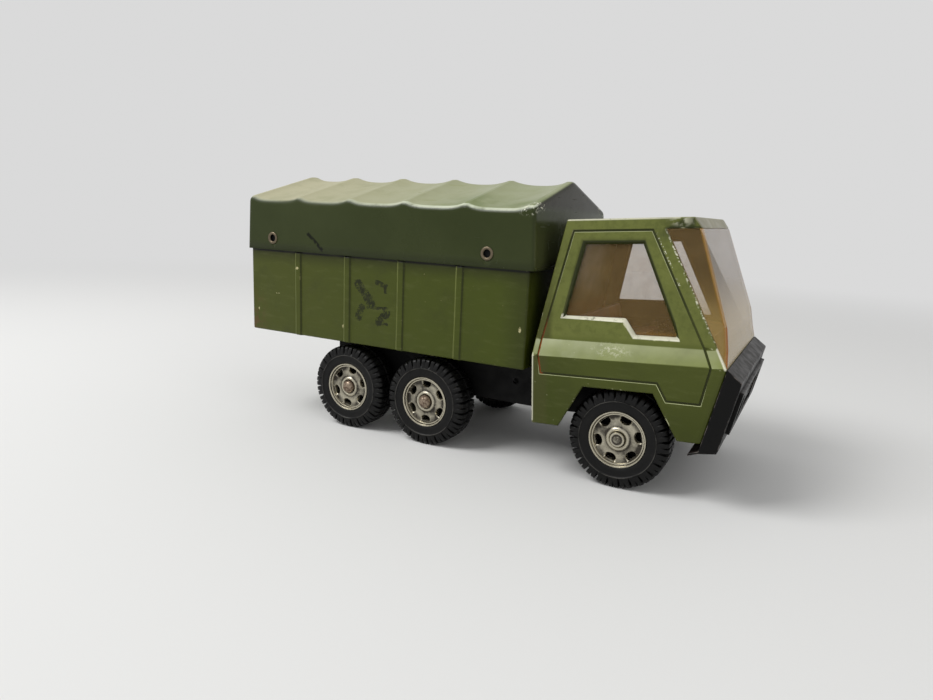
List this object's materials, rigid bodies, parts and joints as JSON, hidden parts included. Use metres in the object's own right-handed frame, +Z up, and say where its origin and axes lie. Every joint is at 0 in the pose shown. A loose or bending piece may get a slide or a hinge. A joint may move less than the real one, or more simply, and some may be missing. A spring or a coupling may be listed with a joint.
{
  "type": "toy military truck",
  "caption": "Toy military truck: pressed load box under a ribbed hard canopy, boxy cab with clear glazing, freely turning lugged wheels on fixed pins.",
  "frame": {"origin": "centre of the footprint of the whole toy, on the ground under its wheels", "axes": "+X forward, +Y to the truck's left, +Z up"},
  "size_m": [0.2668, 0.1024, 0.1351],
  "materials": {
    "box_paint": "satin olive paint, scuffed",
    "cab_paint": "satin olive paint, chipped edges",
    "canopy_plastic": "glossy dark green",
    "clear_plastic": "yellowed clear plastic",
    "interior_plastic": "red-brown",
    "black_plastic": "satin black",
    "black_metal": "satin black paint",
    "rivet_metal": "tarnished",
    "axle_steel": "dull",
    "rusty_steel": "rusted",
    "plating": "worn bright plating",
    "tyre_rubber": "black, slightly glossy"
  },
  "bodies": {
    "body": {"chassis": "black_metal", "load_box": "box_paint", "canopy": "canopy_plastic", "eyelets": "rivet_metal", "cab_shell": "cab_paint", "glazing": "clear_plastic", "cab_interior": "interior_plastic", "grille": "black_plastic", "rear_axle": "axle_steel", "rear_axle_caps": "rusty_steel", "middle_axle": "axle_steel", "middle_axle_caps": "rusty_steel", "front_axle": "axle_steel", "front_axle_caps": "plating"},
    "rear_right_wheel": {"rear_right_hub": "plating", "rear_right_tyre": "tyre_rubber"},
    "rear_left_wheel": {"rear_left_hub": "plating", "rear_left_tyre": "tyre_rubber"},
    "middle_right_wheel": {"middle_right_hub": "plating", "middle_right_tyre": "tyre_rubber"},
    "middle_left_wheel": {"middle_left_hub": "plating", "middle_left_tyre": "tyre_rubber"},
    "front_right_wheel": {"front_right_hub": "plating", "front_right_tyre": "tyre_rubber"},
    "front_left_wheel": {"front_left_hub": "plating", "front_left_tyre": "tyre_rubber"}
  },
  "joints": [
    {"name": "rear_right_spin", "type": "hinge", "parent": "body", "child": "rear_right_wheel", "pos_m": [-0.06405, -0.0407, 0.0225], "axis": [0, 1, 0], "continuous": true},
    {"name": "rear_left_spin", "type": "hinge", "parent": "body", "child": "rear_left_wheel", "pos_m": [-0.06405, 0.0407, 0.0225], "axis": [0, 1, 0], "continuous": true},
    {"name": "middle_right_spin", "type": "hinge", "parent": "body", "child": "middle_right_wheel", "pos_m": [-0.01525, -0.0407, 0.0225], "axis": [0, 1, 0], "continuous": true},
    {"name": "middle_left_spin", "type": "hinge", "parent": "body", "child": "middle_left_wheel", "pos_m": [-0.01525, 0.0407, 0.0225], "axis": [0, 1, 0], "continuous": true},
    {"name": "front_right_spin", "type": "hinge", "parent": "body", "child": "front_right_wheel", "pos_m": [0.08465, -0.0407, 0.0225], "axis": [0, 1, 0], "continuous": true},
    {"name": "front_left_spin", "type": "hinge", "parent": "body", "child": "front_left_wheel", "pos_m": [0.08465, 0.0407, 0.0225], "axis": [0, 1, 0], "continuous": true}
  ]
}
